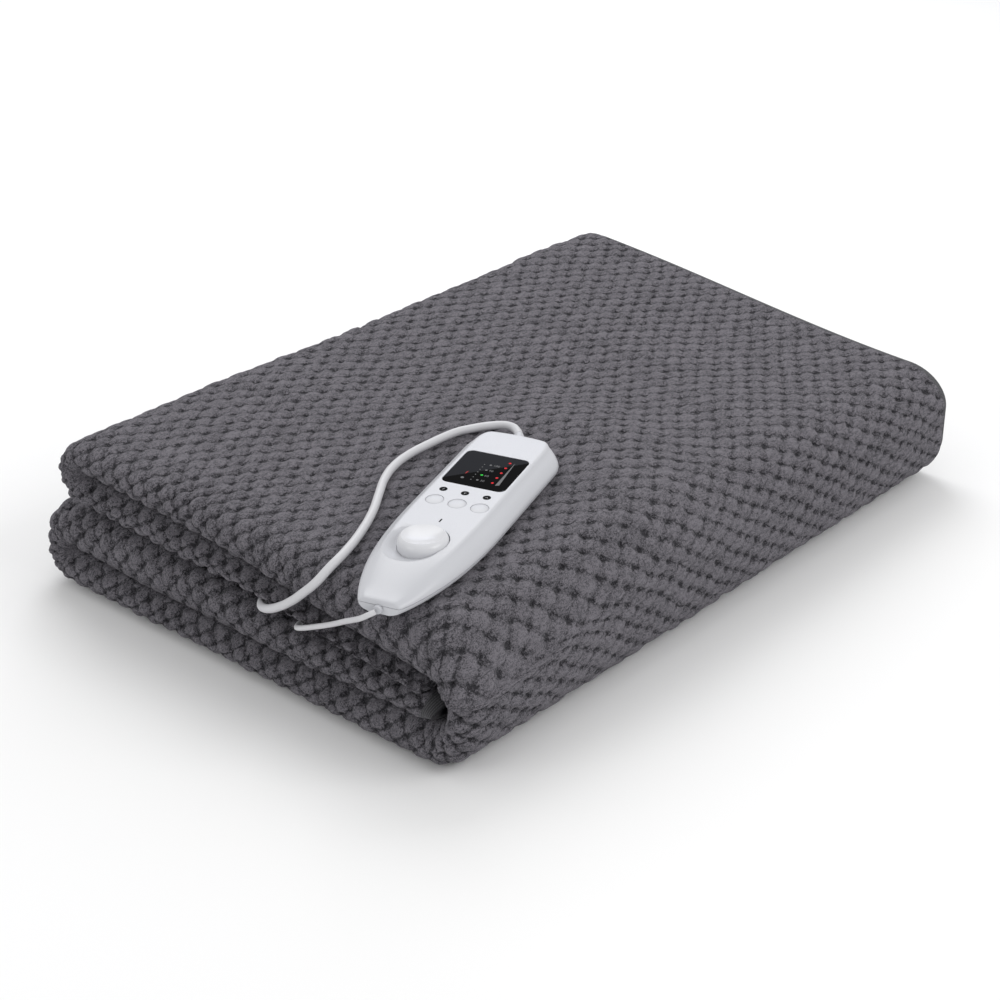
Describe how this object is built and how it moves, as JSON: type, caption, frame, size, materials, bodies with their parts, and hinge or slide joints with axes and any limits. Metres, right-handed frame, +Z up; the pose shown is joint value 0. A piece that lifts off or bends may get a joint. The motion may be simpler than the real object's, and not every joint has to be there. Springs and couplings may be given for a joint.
{
  "type": "electric heated blanket",
  "caption": "Folded waffle-fleece heated blanket with a wired handset on top, its display, buttons and heat dial, a mains lead tucked into the folds and a flat two-pin plug.",
  "frame": {"origin": "on the floor under the middle of the stack and its handset", "axes": "+X to the right along the front fold, +Y away from the front fold along the stack's longer side, +Z up"},
  "size_m": [0.4791, 0.5204, 0.1206],
  "materials": {
    "fleece": "short waffle-embossed fleece, mid grey",
    "white_plastic": "satin white moulding",
    "window_black": "glossy black display window",
    "cord_white": "white flexible sheath",
    "tie_black": "black band",
    "pin_nickel": "plated pins"
  },
  "bodies": {
    "blanket_and_leads": {"blanket": "fleece", "handset_base_shell": "white_plastic", "handset_top_shell": "white_plastic", "handset_window": "window_black", "nose_gland": "white_plastic", "strain_relief": "cord_white", "mains_cord": "cord_white", "mains_cord_coil": "cord_white", "mains_cord_tail": "cord_white", "cord_tie": "tie_black", "plug_body": "white_plastic", "plug_pin_left": "pin_nickel", "plug_pin_right": "pin_nickel", "blanket_cord": "cord_white"},
    "heat_knob": {"heat_knob": "white_plastic"},
    "button_left": {"button_left": "white_plastic"},
    "button_middle": {"button_middle": "white_plastic"},
    "button_right": {"button_right": "white_plastic"}
  },
  "joints": [
    {"name": "heat_knob_turn", "type": "hinge", "parent": "blanket_and_leads", "child": "heat_knob", "pos_m": [0.11322, -0.20254, 0.11548], "axis": [0.0117, -0.0384, 0.9992], "range_deg": [-120, 120]},
    {"name": "button_left_press", "type": "slide", "parent": "blanket_and_leads", "child": "button_left", "axis": [-0.0117, 0.0384, -0.9992], "range_m": [0, 0.001], "stiffness_N_per_m": 400},
    {"name": "button_middle_press", "type": "slide", "parent": "blanket_and_leads", "child": "button_middle", "axis": [-0.0117, 0.0384, -0.9992], "range_m": [0, 0.001], "stiffness_N_per_m": 400},
    {"name": "button_right_press", "type": "slide", "parent": "blanket_and_leads", "child": "button_right", "axis": [-0.0117, 0.0384, -0.9992], "range_m": [0, 0.001], "stiffness_N_per_m": 400}
  ]
}
